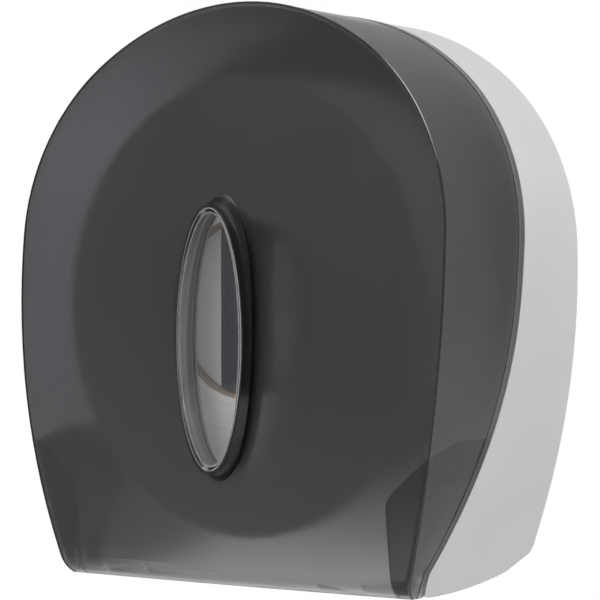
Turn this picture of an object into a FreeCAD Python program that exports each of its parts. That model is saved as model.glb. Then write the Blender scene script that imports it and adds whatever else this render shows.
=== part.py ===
"""Jumbo toilet roll dispenser, a parametric document in millimetres.

The origin is where the spindle's axis meets the wall. X runs across the
dispenser, Y into the wall and Z up, so the front faces -Y.
"""
import FreeCAD, Part
import math
import os
from types import SimpleNamespace
import Sketcher

# Driving dimensions. Depths are measured out from the wall, drops down from the spindle's axis
# and rises up from the dispenser's lowest line.
DIMENSIONS = {
    # The roll that the casing is built round, and the room it leaves
    "roll_radius": 114.3,
    "roll_headroom": 29.7,
    "roll_footroom": 22.2,
    "roll_back_depth": 21.0,
    "roll_front_gap": 20.1,
    "roll_edge": 1.2,
    # The arched outline where the casing meets the wall, its radii as shares of its height
    "wall_crown_share": 0.9451,
    "wall_shoulder_share": 0.7792,
    "wall_flank_share": 2.5556,
    "wall_skirt_share": 3.743,
    # The same outline, larger, on a plane just in front of the cover
    "front_plane_gap": 3.9,
    "front_climb": 8.1,
    "front_crown_share": 0.9941,
    "front_shoulder_share": 0.7232,
    "front_flank_share": 3.399,
    "front_skirt_share": 3.5897,
    # Directions in which the outline's arcs meet, from straight up
    "crown_turn": 37.4,
    "shoulder_turn": 88.3,
    "flank_turn": 106.8,
    # The crowned front of the cover
    "face_depth": 126.1,
    "face_apex_drop": 32.5,
    "face_upper_radius": 875.0,
    "face_lower_radius": 680.0,
    "face_cross_radius": 2830.0,
    "lip_radius": 12.0,
    "lip_centre_rise": 10.8,
    "lip_run": 15.6,
    "overrun": 6.0,
    # The line where the cover meets the base, seen from the side
    "seam_depth": 53.2,
    "seam_knee_height": 4.6,
    "seam_lean": 6.1,
    "seam_foot_run": 25.1,
    "seam_foot_rise": 11.8,
    "seam_gap": 0.35,
    "cover_corner_radius": 2.0,
    # Cover
    "cover_wall": 2.2,
    "band_width": 5.2,
    "band_rise": 0.35,
    # Base
    "base_wall": 3.0,
    "back_plate": 3.0,
    "foot_step": 2.1,
    "foot_relief_rise": 6.5,
    "foot_rise": 0.3,
    "edge_end_depth": 21.5,
    "edge_end_rise": 5.9,
    "edge_radius": 360.0,
    "heel_depth": 3.0,
    "heel_rise": 13.4,
    "heel_top_rise": 19.5,
    "heel_radius": 6.5,
    "register_depth": 3.0,
    "register_wall": 1.2,
    "register_clearance": 0.3,
    # Moulded detail on the back plate
    "pad_radius": 10.0,
    "pad_rise": 3.0,
    "slot_spacing_across": 127.0,
    "slot_spacing_up": 114.3,
    "slot_radius": 2.75,
    "slot_length": 9.0,
    "boss_radius": 37.0,
    "boss_rise": 4.0,
    "rib_ring_radius": 66.0,
    "rib_thickness": 2.0,
    "rib_rise": 3.4,
    # Window. Its flared surround is given by oval sections, each wider and taller than the
    # window by a growth on each side. Sinks and rises are measured from the front's crown.
    "window_drop": 14.9,
    "window_half_width": 20.8,
    "window_half_height": 64.4,
    "flare_foot_sink": 7.1,
    "flare_foot_growth": 5.2,
    "flare_foot_growth_up": 7.6,
    "flare_waist_sink": 1.6,
    "flare_waist_growth": 2.0,
    "flare_waist_growth_up": 5.2,
    "flare_neck_rise": 1.9,
    "flare_neck_growth": 1.1,
    "flare_neck_growth_up": 3.2,
    "rim_rise": 6.1,
    "rim_growth": 0.8,
    "rim_growth_up": 2.0,
    "lens_seat_sink": 5.1,
    "lens_dome": 4.8,
    "lens_wall": 2.2,
    "lens_clearance": 0.1,
    "lens_flange": 3.6,
    "lens_flange_thickness": 1.5,
    "retainer_thickness": 1.6,
    "retainer_width": 5.0,
    # Hinge
    "pin_run": 3.5,
    "pin_rise": 3.7,
    "pin_radius": 1.6,
    "pin_clearance": 0.08,
    "pin_head_radius": 4.3,
    "pin_head_length": 2.0,
    "pin_head_gap": 0.2,
    "arm_side_gap": 7.07,
    "arm_thickness": 2.0,
    "arm_tip_radius": 3.3,
    "arm_length": 24.5,
    "arm_root_low_rise": 6.5,
    "arm_root_high_rise": 13.0,
    "ear_wall": 1.6,
    "ear_arm_gap": 0.4,
    "ear_relief_rise": 12.0,
    "ear_relief_run": 6.5,
    "ear_shoulder_rise": 41.0,
    "ear_shoulder_run": 3.2,
    "ear_shoulder_climb": 5.5,
    "ear_roof_run": 40.0,
    "ear_roof_climb": 32.0,
    "ear_roof_lean_share": 0.355,
    "ear_top_rise": 75.0,
    "ear_back_gap": 1.0,
    # Spindle and hub
    "core_bore_radius": 43.0,
    "core_wall": 1.8,
    "core_clearance": 0.15,
    "post_radius": 9.5,
    "post_flange_radius": 33.0,
    "post_flange_thickness": 4.0,
    "post_collar_radius": 14.0,
    "bush_wall": 1.8,
    "bush_clearance": 0.06,
    "hub_sleeve_wall": 2.2,
    "hub_flange_radius": 54.0,
    "hub_flange_thickness": 2.4,
    "hub_front_gap": 5.5,
    "paddle_width": 21.2,
    "paddle_thickness": 3.0,
    "hub_web_thickness": 2.4,
    "hub_clearance": 0.3,
    "cap_radius": 15.0,
    "cap_thickness": 3.0,
    "cap_edge": 1.0,
    "spindle_screw_ring": 24.0,
    "screw_radius": 2.0,
    "screw_head_radius": 3.8,
    "screw_head_height": 2.4,
    "screw_length": 8.0,
    "cap_screw_reach": 6.0,
    # Lock
    "lock_seam_gap": 18.3,
    "lock_pad_radius": 15.0,
    "lock_pad_sink": 1.4,
    "lock_pad_thickness": 4.0,
    "lock_recess_radius": 12.5,
    "barrel_radius": 8.5,
    "barrel_length": 15.1,
    "bezel_radius": 11.5,
    "bezel_thickness": 1.2,
    "plug_radius": 5.5,
    "plug_clearance": 0.06,
    "keyway_length": 7.0,
    "keyway_width": 1.6,
    "keyway_depth": 4.0,
    "nut_radius": 12.0,
    "nut_thickness": 3.0,
    "cam_gap": 0.4,
    "cam_thickness": 2.4,
    "cam_hub_radius": 8.0,
    "cam_finger_radius": 26.0,
    "cam_finger_width": 5.0,
    "cam_start_turn": 18.0,
    "cam_finger_turn": 52.0,
    "cam_arm_turn": 10.0,
    "keeper_thickness": 2.0,
    "keeper_half_width": 6.0,
    "keeper_window_width": 7.6,
    "keeper_window_height": 4.6,
    "keeper_foot": 2.5,
    "keeper_sink": 4.5,
    "keeper_leg_half_length": 13.0,
    "keeper_leg_back_run": 6.0,
    "keeper_leg_front_run": 9.5,
    "keeper_boss_back_run": 1.0,
    "keeper_screw_run": 4.3,
    "keeper_screw_across": 8.0,
    "keeper_screw_radius": 1.4,
    "keeper_screw_head_radius": 2.8,
    "keeper_screw_head_height": 1.6,
    "keeper_screw_length": 5.0,
    # Tear strips
    "strip_inset": 0.8,
    "strip_thickness": 1.6,
    "strip_height": 5.8,
    "strip_front_gap": 4.9,
    "strip_back_gap": 1.5,
    "strip_show": 0.9,
    "tooth_depth": 0.9,
    "tooth_pitch": 3.3,
}

document = FreeCAD.newDocument("roll_dispenser")
sheet = document.addObject("Spreadsheet::Sheet", "sizes")


class Measure:
    """A length, angle or share: its value, and the sheet expression that gives it."""

    def __init__(self, value, text):
        self.value = value
        self.text = text

    def __add__(self, other):
        other = measure(other)
        return Measure(self.value + other.value, f"({self.text} + {other.text})")

    def __sub__(self, other):
        other = measure(other)
        return Measure(self.value - other.value, f"({self.text} - {other.text})")

    def __mul__(self, other):
        other = measure(other)
        return Measure(self.value * other.value, f"({self.text} * {other.text})")

    def __truediv__(self, other):
        other = measure(other)
        return Measure(self.value / other.value, f"({self.text} / {other.text})")

    def __neg__(self):
        return Measure(-self.value, f"(-{self.text})")

    def __rsub__(self, other):
        return measure(other) - self

    def __rmul__(self, other):
        return measure(other) * self


def measure(value):
    return value if isinstance(value, Measure) else Measure(value, repr(value))


def sine(angle):
    return Measure(math.sin(math.radians(angle.value)), f"sin({angle.text})")


def cosine(angle):
    return Measure(math.cos(math.radians(angle.value)), f"cos({angle.text})")


def tangent(angle):
    return Measure(math.tan(math.radians(angle.value)), f"tan({angle.text})")


def root(square):
    return Measure(math.sqrt(square.value), f"sqrt({square.text})")


def leg(long_side, side):
    """The other short side of a right triangle."""
    return root(long_side * long_side - side * side)


def fill_sheet():
    """Write each driving dimension into the sheet and return them as measures."""
    named = SimpleNamespace()
    for row, (alias, value) in enumerate(DIMENSIONS.items(), start=1):
        sheet.set(f"A{row}", alias)
        sheet.set(f"B{row}", str(value))
        sheet.setAlias(f"B{row}", alias)
        setattr(named, alias, Measure(value, f"sizes.{alias}"))
    document.recompute()
    return named


def relate(named):
    """Add the sizes that follow from the driving ones."""
    named.wall_top = named.roll_radius + named.roll_headroom
    named.front_top = named.wall_top + named.front_climb
    named.bottom_drop = named.roll_radius + named.roll_footroom
    named.front_plane_depth = named.face_depth + named.front_plane_gap
    named.lip_end_depth = named.face_depth - named.lip_run
    named.seam_foot_depth = named.face_depth - named.seam_foot_run
    named.foot_depth = named.seam_foot_depth - named.foot_step
    named.strip_front_depth = named.foot_depth - named.strip_front_gap
    named.strip_back_depth = named.edge_end_depth + named.strip_back_gap
    named.flare_foot_depth = named.face_depth - named.flare_foot_sink
    named.flare_waist_depth = named.face_depth - named.flare_waist_sink
    named.flare_neck_depth = named.face_depth + named.flare_neck_rise
    named.rim_depth = named.face_depth + named.rim_rise
    named.lens_seat_depth = named.face_depth - named.lens_seat_sink
    named.pin_depth = named.seam_foot_depth + named.pin_run
    named.arm_root_depth = named.pin_depth - named.arm_length
    named.ear_relief_depth = named.pin_depth + named.ear_relief_run
    named.roll_front_depth = named.face_depth - named.roll_front_gap
    named.roll_width = named.roll_front_depth - named.roll_back_depth
    named.hub_front_depth = named.roll_front_depth - named.hub_front_gap
    crown_rise = named.wall_top - named.seam_knee_height
    crown_seam_depth = named.seam_depth - crown_rise * tangent(named.seam_lean)
    named.lock_depth = crown_seam_depth - named.lock_seam_gap
    named.lock_pad_top = named.wall_top - named.lock_pad_sink
    named.barrel_bottom = named.lock_pad_top - named.barrel_length
    named.keeper_top = named.wall_top - named.keeper_sink


size = fill_sheet()
relate(size)
ZERO = measure(0)


def bind(thing, path, value):
    """Tie one property to the sheet."""
    thing.setExpression(path, measure(value).text)


# Sketches


def new_body(label):
    body = document.addObject("PartDesign::Body", label)
    body.Label = label
    return body


def new_sketch(body, plane, name, offset=ZERO):
    """A sketch on one of the body's own planes, moved out along its normal."""
    sketch = body.newObject("Sketcher::SketchObject", name)
    support = [part for part in body.Origin.OriginFeatures if part.Role == plane][0]
    sketch.AttachmentSupport = [(support, "")]
    sketch.MapMode = "FlatFace"
    bind(sketch, "AttachmentOffset.Base.z", offset)
    return sketch


def hold(sketch, kind, geometry, point, value):
    """Hold one coordinate of a point to the sheet."""
    if value.text == "0":
        axis = {"DistanceX": -2, "DistanceY": -1}[kind]
        sketch.addConstraint(Sketcher.Constraint("PointOnObject", geometry, point, axis))
        return
    index = sketch.addConstraint(
        Sketcher.Constraint(kind, -1, 1, geometry, point, value.value)
    )
    bind(sketch, f"Constraints[{index}]", value)


def hold_radius(sketch, geometry, value):
    index = sketch.addConstraint(Sketcher.Constraint("Radius", geometry, value.value))
    bind(sketch, f"Constraints[{index}]", value)


def arc_between(first, last, radius, turn):
    """The short arc from first to last; turn is 1 to the left and -1 to the right."""
    chord = last - first
    height = math.sqrt(max(radius * radius - chord.Length * chord.Length / 4, 0))
    side = FreeCAD.Vector(-chord.y, chord.x, 0).normalize() * (height * turn)
    centre = (first + last) * 0.5 + side
    if turn < 0:
        first, last = last, first
    start = math.atan2(first.y - centre.y, first.x - centre.x)
    end = math.atan2(last.y - centre.y, last.x - centre.x)
    if end < start:
        end += 2 * math.pi
    return Part.ArcOfCircle(Part.Circle(centre, FreeCAD.Vector(0, 0, 1), radius), start, end)


def trace(sketch, corners):
    """A closed outline of straight lines and arcs.

    A corner is (across, up). Where an arc leads on to the next corner it also has the arc's
    radius and 1 for a left turn or -1 for a right one. A radius of None makes a half turn
    to a corner straight above or below.
    """
    points = [FreeCAD.Vector(c[0].value, c[1].value, 0) for c in corners]
    ends = []
    for number, corner in enumerate(corners):
        first, last = points[number], points[(number + 1) % len(points)]
        if len(corner) == 2:
            geometry = sketch.addGeometry(Part.LineSegment(first, last))
            ends.append((geometry, 1, 2))
            continue
        radius, turn = corner[2], corner[3]
        reach = (last - first).Length / 2 if radius is None else radius.value
        geometry = sketch.addGeometry(arc_between(first, last, reach, turn))
        ends.append((geometry, 1, 2) if turn > 0 else (geometry, 2, 1))
    for number, (geometry, start, end) in enumerate(ends):
        following, following_start, _ = ends[(number + 1) % len(ends)]
        sketch.addConstraint(
            Sketcher.Constraint("Coincident", geometry, end, following, following_start)
        )
    for (geometry, start, _), corner in zip(ends, corners):
        hold(sketch, "DistanceX", geometry, start, corner[0])
        hold(sketch, "DistanceY", geometry, start, corner[1])
        if len(corner) > 2 and corner[2] is None:
            hold(sketch, "DistanceX", geometry, 3, corner[0])
        elif len(corner) > 2:
            hold_radius(sketch, geometry, corner[2])


def circle(sketch, across_at, up_at, radius):
    centre = FreeCAD.Vector(across_at.value, up_at.value, 0)
    geometry = sketch.addGeometry(Part.Circle(centre, FreeCAD.Vector(0, 0, 1), radius.value))
    hold(sketch, "DistanceX", geometry, 3, across_at)
    hold(sketch, "DistanceY", geometry, 3, up_at)
    hold_radius(sketch, geometry, radius)


def box_corners(left, right, low, high):
    return [(left, low), (right, low), (right, high), (left, high)]


# Solids


def pad(body, sketch, length, both_ways=False):
    feature = body.newObject("PartDesign::Pad", "pad")
    feature.Profile = sketch
    feature.SideType = "Symmetric" if both_ways else "One side"
    bind(feature, "Length", length)


def turned(label, plane, axis, corners):
    """A piece turned about an axis of its sketch."""
    body = new_body(label)
    sketch = new_sketch(body, plane, "half_profile")
    trace(sketch, corners)
    feature = body.newObject("PartDesign::Revolution", "turned")
    feature.Profile = sketch
    feature.ReferenceAxis = (sketch, [axis])
    return body


def plate(label, plane, near, thickness, corners):
    """A flat piece; it grows from near along the plane's normal."""
    body = new_body(label)
    sketch = new_sketch(body, plane, "outline", near)
    trace(sketch, corners)
    pad(body, sketch, thickness)
    return body


def across(label, half_width, corners):
    """A side profile carried across the dispenser, as far each way."""
    body = new_body(label)
    sketch = new_sketch(body, "YZ_Plane", "side_profile")
    trace(sketch, corners)
    pad(body, sketch, 2 * half_width, both_ways=True)
    return body


def disc(label, plane, near, thickness, radius, at=(ZERO, ZERO), bore=None):
    """A round piece, or a ring where it has a bore."""
    body = new_body(label)
    sketch = new_sketch(body, plane, "outline", near)
    circle(sketch, at[0], at[1], radius)
    if bore is not None:
        circle(sketch, at[0], at[1], bore)
    pad(body, sketch, thickness)
    return body


def cut(label, base, tool):
    result = document.addObject("Part::Cut", label)
    result.Label = label
    result.Base = base
    result.Tool = tool
    return result


def common(label, *shapes):
    result = document.addObject("Part::MultiCommon", label)
    result.Label = label
    result.Shapes = list(shapes)
    return result


def fuse(label, *shapes):
    result = document.addObject("Part::MultiFuse", label)
    result.Label = label
    result.Shapes = list(shapes)
    return result


def mirrored(label, source):
    """The same piece on the other side."""
    result = document.addObject("Part::Mirroring", label)
    result.Label = label
    result.Source = source
    result.Normal = FreeCAD.Vector(1, 0, 0)
    return result


# The casing's common form


def below(rise):
    """A height given by its rise above the dispenser's lowest line."""
    return rise - size.bottom_drop


LOWEST = -size.bottom_drop - 2 * size.overrun
HIGHEST = size.front_top + 2 * size.overrun
FRONTMOST = size.front_plane_depth + 2 * size.overrun
HALF_WIDTH = size.front_top + 2 * size.overrun


def arch_half(place, inset, foot_up):
    """The right half of the arch on the wall or front plane, drawn in by inset: its radii, the
    points where its arcs meet and its half width at the height of its foot."""
    top = getattr(size, f"{place}_top")
    radii = [getattr(size, f"{place}_{part}_share") * top - inset
             for part in ("crown", "shoulder", "flank", "skirt")]
    centre_across, centre_up = ZERO, top - inset - radii[0]
    joints = []
    for number, turn in enumerate([size.crown_turn, size.shoulder_turn, size.flank_turn]):
        radius, following = radii[number], radii[number + 1]
        joints.append((centre_across + radius * sine(turn), centre_up + radius * cosine(turn)))
        centre_across = centre_across + (radius - following) * sine(turn)
        centre_up = centre_up + (radius - following) * cosine(turn)
    return radii, joints, centre_across + leg(radii[-1], centre_up - foot_up)


def casing_side(depth, height):
    """Half the casing's width near its foot, at a depth and a height."""
    wall_side = arch_half("wall", ZERO, height)[-1]
    front_side = arch_half("front", ZERO, height)[-1]
    return wall_side + (front_side - wall_side) * depth / size.front_plane_depth


def arch_corners(place, inset):
    """The whole arch outline, running on below the casing's foot."""
    radii, joints, foot = arch_half(place, inset, LOWEST)
    crown, shoulder, flank, skirt = radii
    left = [(-joint[0], joint[1]) for joint in joints]
    return [
        (*joints[0], shoulder, -1),
        (*joints[1], flank, -1),
        (*joints[2], skirt, -1),
        (foot, LOWEST),
        (-foot, LOWEST, skirt, -1),
        (*left[2], flank, -1),
        (*left[1], shoulder, -1),
        (*left[0], crown, -1),
    ]


def arch(label, inset):
    """The drafted arch, from the wall to the plane in front of the cover."""
    body = new_body(label)
    wall = new_sketch(body, "XZ_Plane", "wall_outline")
    trace(wall, arch_corners("wall", inset))
    front = new_sketch(body, "XZ_Plane", "front_outline", size.front_plane_depth)
    trace(front, arch_corners("front", inset))
    loft = body.newObject("PartDesign::AdditiveLoft", "draft")
    loft.Profile = wall
    loft.Sections = [front]
    loft.Ruled = True
    return body


def face_corners(inset, lip_end):
    """The crowned front in side view, with its lip turned in along the bottom.

    Where lip_end is given, the lip's inner face drops out through the mouth at that depth.
    """
    depth = size.face_depth - inset
    apex = -size.face_apex_drop
    upper = size.face_upper_radius - inset
    lower = size.face_lower_radius - inset
    lip = size.lip_radius - inset
    lip_up = below(size.lip_centre_rise)
    lip_back = lower - depth - leg(lower - lip, lip_up - apex)
    stretch = lower / (lower - lip)
    lip_start = (
        lower - depth - (lower - depth - lip_back) * stretch,
        apex + (lip_up - apex) * stretch,
    )
    corners = [
        (size.overrun, HIGHEST),
        (upper - depth - leg(upper, HIGHEST - apex), HIGHEST, upper, 1),
        (-depth, apex, lower, 1),
        (*lip_start, lip, 1),
    ]
    if lip_end is None:
        foot = lip_back - leg(lip, lip_up - below(ZERO))
        return corners + [(foot, below(ZERO)), (size.overrun, below(ZERO))]
    foot = lip_up - leg(lip, lip_back + lip_end)
    return corners + [(-lip_end, foot), (-lip_end, LOWEST), (size.overrun, LOWEST)]


def face_form(label, inset, lip_end):
    """All that lies behind the crowned front: its side view swept about a far upright axis."""
    body = new_body(label + "_profile")
    sketch = new_sketch(body, "YZ_Plane", "side_profile")
    trace(sketch, face_corners(inset, lip_end))
    form = document.addObject("Part::Revolution", label)
    form.Label = label
    form.Source = sketch
    form.Solid = True
    form.Symmetric = True
    form.Axis = FreeCAD.Vector(0, 0, 1)
    axis_back = size.face_cross_radius - size.face_depth
    bind(form, "Base.y", axis_back)
    bind(form, "Angle", 2 * HALF_WIDTH / axis_back * math.degrees(1))
    return form


def casing(label, inset, lip_end=None):
    """The closed form of the whole dispenser, drawn in by inset."""
    return common(label, arch(label + "_arch", inset), face_form(label + "_face", inset, lip_end))


def seam_line(shift):
    """The seam from top to bottom in side view, moved back by shift."""
    knee = (shift - size.seam_depth, size.seam_knee_height)
    foot = (shift - size.seam_foot_depth, below(size.seam_foot_rise))
    top = (knee[0] + (HIGHEST - knee[1]) * tangent(size.seam_lean), HIGHEST)
    run, fall = knee[0] - foot[0], knee[1] - foot[1]
    bend = run * cosine(size.seam_lean) - fall * sine(size.seam_lean)
    radius = (run * run + fall * fall) / (2 * bend)
    return [top, (*knee, radius, -1), foot]


def ahead_of_seam(label, shift):
    """All that lies in front of the seam, its lowest corner rounded."""
    line = seam_line(shift)
    foot = line[-1][0]
    radius = size.cover_corner_radius
    return across(label, HALF_WIDTH, line + [
        (foot, below(radius), radius, -1),
        (foot - radius, below(ZERO)),
        (foot - radius, LOWEST),
        (-FRONTMOST, LOWEST),
        (-FRONTMOST, HIGHEST),
    ])


# Cover


def ellipse_edge(sketch, half_width, half_height):
    """An upright ellipse about the window's centre."""
    centre = FreeCAD.Vector(0, -size.window_drop.value, 0)
    top = centre + FreeCAD.Vector(0, half_height.value, 0)
    side = centre + FreeCAD.Vector(-half_width.value, 0, 0)
    geometry = sketch.addGeometry(Part.Ellipse(top, side, centre))
    sketch.exposeInternalGeometry(geometry)
    hold(sketch, "DistanceX", geometry, 3, ZERO)
    hold(sketch, "DistanceY", geometry, 3, -size.window_drop)
    long_axis, short_axis = geometry + 1, geometry + 2
    sketch.addConstraint(Sketcher.Constraint("Vertical", long_axis))
    for axis, half in ((long_axis, half_height), (short_axis, half_width)):
        index = sketch.addConstraint(Sketcher.Constraint("Distance", axis, 2 * half.value))
        bind(sketch, f"Constraints[{index}]", 2 * half)


def oval(label, near, thickness, growth):
    """An upright elliptical prism, larger than the window by growth on each side."""
    body = new_body(label)
    sketch = new_sketch(body, "XZ_Plane", "oval", near)
    ellipse_edge(sketch, size.window_half_width + growth, size.window_half_height + growth)
    pad(body, sketch, thickness)
    return body


def window_surround():
    """The raised oval ring with a flared flank."""
    body = new_body("window_surround")
    sections = []
    for depth, growth, growth_up in (
        (size.flare_foot_depth, size.flare_foot_growth, size.flare_foot_growth_up),
        (size.flare_waist_depth, size.flare_waist_growth, size.flare_waist_growth_up),
        (size.flare_neck_depth, size.flare_neck_growth, size.flare_neck_growth_up),
        (size.rim_depth, size.rim_growth, size.rim_growth_up),
    ):
        sketch = new_sketch(body, "XZ_Plane", "ring_section", depth)
        ellipse_edge(sketch, size.window_half_width + growth, size.window_half_height + growth_up)
        sections.append(sketch)
    loft = body.newObject("PartDesign::AdditiveLoft", "flank")
    loft.Profile = sections[0]
    loft.Sections = sections[1:]
    return body


def bulge_radius(half):
    """The radius of an arc that rises to the lens's dome over a half width or height."""
    return (half * half + size.lens_dome * size.lens_dome) / (2 * size.lens_dome)


def dome(label, inset):
    """All that lies behind the lens's bulge: a long upright arc swept about a near axis, so
    that the bulge comes down to the rim all round the window's oval."""
    apex = size.rim_depth + size.lens_dome - inset
    upright = bulge_radius(size.window_half_height) - inset
    level = bulge_radius(size.window_half_width) - inset
    half = size.window_half_height
    end_depth = apex - upright + leg(upright, half)
    sketch = new_sketch(new_body(label + "_profile"), "YZ_Plane", "side_profile")
    trace(sketch, [
        (level - apex, half - size.window_drop),
        (-end_depth, half - size.window_drop, upright, 1),
        (-end_depth, -half - size.window_drop),
        (level - apex, -half - size.window_drop),
    ])
    form = document.addObject("Part::Revolution", label)
    form.Label = label
    form.Source = sketch
    form.Solid = True
    form.Symmetric = True
    form.Axis = FreeCAD.Vector(0, 0, 1)
    bind(form, "Base.y", level - apex)
    form.Angle = 180
    return form


def lens_back():
    """The depth of the lens's rear face."""
    return size.lens_seat_depth - size.lens_flange_thickness


def window_lens():
    """A domed cap on an oval skirt, with a flange round its back."""
    back = lens_back()
    fit = -size.lens_clearance
    wall = -size.lens_clearance - size.lens_wall
    reach = size.rim_depth - back
    front = size.rim_depth - size.lens_wall
    bulge = common("lens_bulge", dome("lens_dome_form", ZERO),
                   oval("lens_front", front, 4 * size.lens_dome, fit))
    skirt = oval("lens_skirt", back, reach - size.lens_wall, fit)
    flange = oval("lens_flange_form", back, size.lens_flange_thickness, size.lens_flange)
    hollow = common("lens_hollow", dome("lens_hollow_dome", size.lens_wall),
                    oval("lens_hollow_front", front - size.lens_wall, 4 * size.lens_dome, wall))
    bore = oval("lens_bore", back - size.overrun, reach + size.overrun - 2 * size.lens_wall, wall)
    return cut("window_lens", fuse("lens_solid", bulge, skirt, flange),
               fuse("lens_void", hollow, bore))


def lens_retainer():
    """The oval ring that holds the lens in its seat from behind."""
    near = lens_back() - size.retainer_thickness
    ring = oval("retainer_blank", near, size.retainer_thickness, size.lens_flange)
    hole = oval("retainer_hole", near - size.overrun, 3 * size.overrun,
                size.lens_flange - size.retainer_width)
    return cut("lens_retainer", ring, hole)


def front_cover(outside, inside):
    """The arched cover with its rear band and window ring."""
    ahead = ahead_of_seam("cover_region", ZERO)
    shell = common("cover_shell", cut("cover_walls", outside, inside), ahead)
    swollen = cut("band_walls", casing("band_casing", -size.band_rise), inside)
    band_strip = cut("band_strip", ahead, ahead_of_seam("band_front", -size.band_width))
    band = common("rear_band", swollen, band_strip)
    whole = fuse("cover_solid", shell, band, window_surround(), keeper_boss(outside))
    through = oval("window_hole", size.lens_seat_depth - size.overrun,
                   size.rim_depth - size.lens_seat_depth + 2 * size.overrun, ZERO)
    pocket_depth = size.lens_seat_depth - size.flare_foot_depth + size.overrun
    seat = oval("lens_seat", size.lens_seat_depth - pocket_depth, pocket_depth,
                size.lens_flange + size.lens_clearance)
    return cut("front_cover", whole, fuse("cover_holes", through, seat, keeper_shanks))


# Base


def base_region():
    """The base in side view: behind the seam, over the paper's exit and up to the wall."""
    line = seam_line(size.seam_gap)
    return across("base_region", HALF_WIDTH, line + [
        (line[-1][0], below(size.foot_relief_rise)),
        (-size.foot_depth, below(size.foot_rise), size.edge_radius, 1),
        (-size.edge_end_depth, below(size.edge_end_rise)),
        (-size.heel_depth, below(size.heel_rise), size.heel_radius, 1),
        (ZERO, below(size.heel_top_rise)),
        (ZERO, HIGHEST),
    ])


def base_room():
    """The room inside the base's walls, in front of its back plate."""
    room = casing("base_room_casing", size.base_wall, size.seam_foot_depth)
    ahead = across("ahead_of_back_plate", HALF_WIDTH,
                   box_corners(-FRONTMOST, -size.back_plate, LOWEST, HIGHEST))
    return common("base_room", room, ahead)


def register_lip():
    """The thin tongue that runs just inside the cover's rear edge."""
    outer_inset = size.cover_wall + size.register_clearance
    outer = casing("register_outside", outer_inset, size.seam_foot_depth)
    inner = casing("register_inside", outer_inset + size.register_wall, size.seam_foot_depth)
    reach = ahead_of_seam("register_reach", -size.register_depth)
    strip = cut("register_strip", ahead_of_seam("register_root", size.register_depth), reach)
    low = below(size.ear_top_rise + size.overrun)
    high = across("register_above", HALF_WIDTH, box_corners(-FRONTMOST, size.overrun, low, HIGHEST))
    return common("register_lip", cut("register_walls", outer, inner), strip, high)


def spindle_seat():
    """The round seat that the spindle's flange is screwed to."""
    return disc("spindle_seat", "XZ_Plane", ZERO, size.back_plate + size.boss_rise, size.boss_radius)


def back_ribs(inside):
    """A ring rib and six spokes that stiffen the back plate."""
    height = size.back_plate + size.rib_rise
    webs = [disc("ring_rib", "XZ_Plane", ZERO, height, size.rib_ring_radius + size.rib_thickness,
                 bore=size.rib_ring_radius)]
    half = size.rib_thickness / 2
    for number in range(3):
        spoke = plate(f"spoke_{number}", "XZ_Plane", ZERO, height,
                      box_corners(-size.front_top, size.front_top, -half, half))
        turn = FreeCAD.Rotation(FreeCAD.Vector(0, 1, 0), 90 + number * 60)
        spoke.Placement = FreeCAD.Placement(FreeCAD.Vector(0, 0, 0), turn)
        webs.append(spoke)
    above = across("ribs_above", HALF_WIDTH,
                   box_corners(-FRONTMOST, size.overrun, below(size.heel_top_rise), HIGHEST))
    return common("back_ribs", fuse("rib_web", *webs), inside, above)


def slot_places():
    half_across = size.slot_spacing_across / 2
    half_up = size.slot_spacing_up / 2
    return [(side * half_across, up * half_up) for side in (-1, 1) for up in (-1, 1)]


def mount_pads():
    return [disc(f"mount_pad_{number}", "XZ_Plane", ZERO, size.back_plate + size.pad_rise,
                 size.pad_radius, at=place) for number, place in enumerate(slot_places())]


def mount_slots():
    """Level slots through the back plate, for wall screws."""
    body = new_body("mount_slots")
    sketch = new_sketch(body, "XZ_Plane", "slots", -size.overrun)
    half = size.slot_length / 2 - size.slot_radius
    for across_at, up_at in slot_places():
        trace(sketch, [
            (across_at - half, up_at - size.slot_radius),
            (across_at + half, up_at - size.slot_radius, None, 1),
            (across_at + half, up_at + size.slot_radius),
            (across_at - half, up_at + size.slot_radius, None, 1),
        ])
    pad(body, sketch, size.back_plate + size.pad_rise + 2 * size.overrun)
    return body


def arm_inner():
    """The inner face of the right-hand hinge arm."""
    return casing_side(size.pin_depth, below(size.pin_rise)) - size.arm_side_gap


def hinge_arm(inside):
    """The right-hand hinge arm: a tongue inside the cover's ear, and its root on the wall."""
    tip = size.arm_tip_radius
    pin_up = below(size.pin_rise)
    low, high = below(size.arm_root_low_rise), below(size.arm_root_high_rise)
    tongue = plate("hinge_arm_tongue", "YZ_Plane", arm_inner(), size.arm_thickness, [
        (-size.pin_depth, pin_up - tip),
        (-size.arm_root_depth, low),
        (-size.arm_root_depth, high),
        (-size.pin_depth, pin_up + tip, None, 1),
    ])
    block = plate("hinge_arm_root", "YZ_Plane", arm_inner(), size.front_plane_depth,
                  box_corners(-size.foot_depth, -size.arm_root_depth, low, high))
    return fuse("hinge_arm", tongue, common("hinge_arm_web", block, inside))


def pin_hole(label, radius):
    return disc(label, "YZ_Plane", -HALF_WIDTH, 2 * HALF_WIDTH, radius,
                at=(-size.pin_depth, below(size.pin_rise)))


def lock_place():
    return (ZERO, -size.lock_depth)


def lock_pad(outside):
    """The thick round patch of the top wall that the lock is clamped to."""
    low = size.lock_pad_top - size.lock_pad_thickness
    return common("lock_pad", outside,
                  disc("lock_pad_blank", "XY_Plane", low, 2 * size.overrun,
                       size.lock_pad_radius, at=lock_place()))


def lock_holes():
    """The recess that the lock's bezel sits in and the hole for its barrel."""
    low = size.lock_pad_top - size.lock_pad_thickness - size.overrun
    recess = disc("lock_recess", "XY_Plane", size.lock_pad_top, size.overrun,
                  size.lock_recess_radius, at=lock_place())
    hole = disc("lock_hole", "XY_Plane", low, size.lock_pad_thickness + 2 * size.overrun,
                size.barrel_radius, at=lock_place())
    return [recess, hole]


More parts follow.
